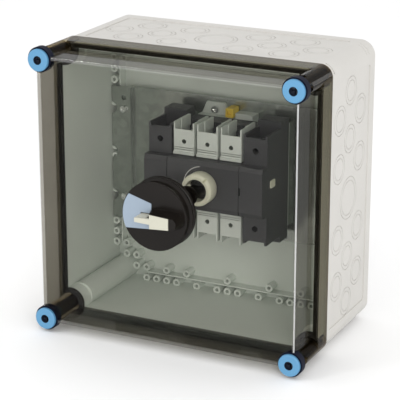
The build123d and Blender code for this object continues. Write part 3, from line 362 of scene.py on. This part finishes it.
# ---------------------------------------------------------------- materials by slot
looks = {
    # base_grey: the inside of the base gets a lighter, greener copy of the grey, painted light that
    # brightens the shaded inside of the box
    "base_grey": two_tone_plastic("base_grey", (0.555, 0.54, 0.51), (0.75, 0.80, 0.755), painted_light_inside_mask),
    "lid_tint": smoked("lid_tint", (0.88, 0.875, 0.86)),
    "seal_black": plastic("seal_black", (0.022, 0.022, 0.022), (0.7, 0.85), 0.15, 500.0, 0.4),
    "fastener_blue": two_tone_plastic(
        "fastener_blue",
        (0.095, 0.275, 0.465),
        (0.13, 0.114, 0.088),
        lambda s: behind(s, BLUE_FROM),
        (0.3, 0.42),
        0.05,
        bump=0.1,
        # painted shade in the driving socket: the blue is multiplied down to a navy near black
        painted_shade_of=lambda s: (near_fastener(s, SOCKET_R), (0.12, 0.06, 0.065)),
    ),
    "fastener_navy": plastic("fastener_navy", (0.004, 0.006, 0.018), (0.5, 0.65), 0.15, specular=0.12),
    "insert_brass": metal("insert_brass", (0.66, 0.46, 0.2)),
    "galvanised": spangle("galvanised", (0.43, 0.46, 0.43)),
    "screw_steel": metal("screw_steel", (0.85, 0.86, 0.85), (0.15, 0.28)),
    "switch_dark": plastic("switch_dark", (0.048, 0.049, 0.054), (0.42, 0.5), 0.08, bump=0.03),
    "cover_grey": plastic("cover_grey", (0.61, 0.65, 0.615), (0.4, 0.5), 0.04),
    "marker_ochre": plastic("marker_ochre", (0.86, 0.62, 0.075), (0.35, 0.5), 0.08),
    "ivory": two_tone_plastic(
        "ivory",
        (0.50, 0.49, 0.405),
        (0.82, 0.82, 0.67),
        lambda s: behind(s, LID_FRONT),
        (0.35, 0.48),
        0.04,
        bump=0.05,
    ),
    "label_blue": plastic("label_blue", (0.262, 0.325, 0.40), (0.25, 0.35), 0.03, 700.0, 0.02, 0.3),
    "knob_black": plastic(
        "knob_black", (0.009, 0.0072, 0.006), (0.17, 0.26), 0.2, 1200.0, 0.03, specular=0.17
    ),
    "contact_copper": metal("contact_copper", (0.72, 0.42, 0.28)),
    "clamp_steel": metal("clamp_steel", (0.5, 0.5, 0.5), (0.3, 0.5)),
    "hub_black": plastic("hub_black", (0.02, 0.02, 0.02), (0.45, 0.6), 0.15),
    "carriage_white": plastic("carriage_white", (0.6, 0.6, 0.57)),
    "spring_steel": metal("spring_steel", (0.45, 0.45, 0.47), (0.25, 0.4), (1, 40, 1)),
}
slot_of = {part["node"]: part["material_slot"] for part in frame["record"]["subparts"]}

# ---------------------------------------------------------------- rounded edges of the moulded pieces
SOFT_SLOTS = ("switch_dark", "cover_grey", "knob_black", "fastener_blue", "ivory")
EDGE_WIDTH = 0.0004
SHARP_FROM = math.radians(35)


def soften(obj):
    """Rounds an object's hard edges and smooths its curved faces."""
    weld = obj.modifiers.new("weld", "WELD")
    weld.merge_threshold = 1e-6
    bevel = obj.modifiers.new("bevel", "BEVEL")
    bevel.width = EDGE_WIDTH
    bevel.segments = 2
    bevel.limit_method = "ANGLE"
    bevel.angle_limit = SHARP_FROM
    bevel.use_clamp_overlap = True
    bevel.harden_normals = True


for name, obj in nodes.items():
    obj.data.materials.clear()
    obj.data.materials.append(looks[slot_of[name]])
    if slot_of[name] in SOFT_SLOTS:
        soften(obj)

# ---------------------------------------------------------------- printed position arc beside the drive ring
ARC_R = 0.0212
ARC_W = 0.0007
ARC_FROM = 98  # degrees
ARC_TO = 168
ARC_STEPS = 24
ARC_SUNK = 0.00002  # how far the back of the print lies inside the housing
ARC_PROUD = 0.00012


def printed_arc():
    """A flat closed strip along part of a circle, with four points at each step."""
    points = []
    for i in range(ARC_STEPS + 1):
        turn = math.radians(ARC_FROM + (ARC_TO - ARC_FROM) * i / ARC_STEPS)
        for radius in (ARC_R, ARC_R + ARC_W):
            for rise in (ARC_SUNK, -ARC_PROUD):
                points.append((radius * math.cos(turn), HOUSING_FACE + rise, radius * math.sin(turn)))
    faces = [(0, 1, 3, 2)]
    for i in range(ARC_STEPS):
        a = 4 * i
        faces += [(a + 1, a + 5, a + 7, a + 3), (a, a + 2, a + 6, a + 4)]
        faces += [(a, a + 4, a + 5, a + 1), (a + 2, a + 3, a + 7, a + 6)]
    last = 4 * ARC_STEPS
    faces.append((last, last + 2, last + 3, last + 1))
    mesh = bpy.data.meshes.new("dial_print")
    mesh.from_pydata(points, [], faces)
    obj = bpy.data.objects.new("dial_print", mesh)
    obj.data.materials.append(plastic("print_white", (0.75, 0.75, 0.73), (0.4, 0.5), 0.04, bump=0.0))
    bpy.context.scene.collection.objects.link(obj)
    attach(obj, "base")


printed_arc()

# ---------------------------------------------------------------- studio
FLOOR_SIZE = 60.0
FLOOR_GAP = 0.002  # from the floor up to the object


def paper_floor():
    paper = Shader("studio_paper")
    body = paper.principled(Roughness=0.9)
    tone = paper.ramp(paper.noise(0.8), [(0.3, (0.93, 0.93, 0.93)), (0.7, (0.96, 0.96, 0.96))])
    paper.link(tone, body.inputs["Base Color"])
    half = FLOOR_SIZE / 2
    corners = [(-half, -half, 0), (half, -half, 0), (half, half, 0), (-half, half, 0)]
    mesh = bpy.data.meshes.new("studio_floor")
    mesh.from_pydata(corners, [], [(0, 1, 2, 3)])
    obj = bpy.data.objects.new("studio_floor", mesh)
    obj.location = (0, 0, lo.z - FLOOR_GAP)
    obj.data.materials.append(paper.material)
    bpy.context.scene.collection.objects.link(obj)


def lamp(name, place, size, power):
    """A square area lamp aimed at the middle of the object."""
    light = bpy.data.lights.new(name, "AREA")
    light.shape = "RECTANGLE"
    light.size = size
    light.size_y = size
    light.energy = power
    obj = bpy.data.objects.new(name, light)
    obj.location = place
    obj.rotation_euler = ((lo + hi) / 2 - Vector(place)).to_track_quat("-Z", "Y").to_euler()
    obj.visible_camera = False
    bpy.context.scene.collection.objects.link(obj)


paper_floor()

world = bpy.data.worlds.new("studio")
bpy.context.scene.world = world
world.use_nodes = True
world.node_tree.nodes["Background"].inputs["Color"].default_value = (1, 1, 1, 1)
world.node_tree.nodes["Background"].inputs["Strength"].default_value = 1.0

lamp("key", (1.5, -2.3, 0.9), 1.4, 33)
lamp("fill", (-1.5, -1.8, 1.7), 0.45, 9)

# ---------------------------------------------------------------- camera
AZIMUTH = math.radians(26.16)
DOWN = math.radians(18.26)

camera = bpy.data.objects.new("camera", bpy.data.cameras.new("camera"))
camera.data.lens = 155.8
camera.data.sensor_width = 36
camera.data.clip_end = 100
camera.location = (0.7502, -1.6293, 0.5485)
camera.rotation_euler = (math.pi / 2 - DOWN, 0, AZIMUTH)
bpy.context.scene.collection.objects.link(camera)
bpy.context.scene.camera = camera
bpy.context.scene.view_settings.view_transform = "Standard"
bpy.context.scene.cycles.transparent_max_bounces = 64  # a line of sight crosses many clear walls
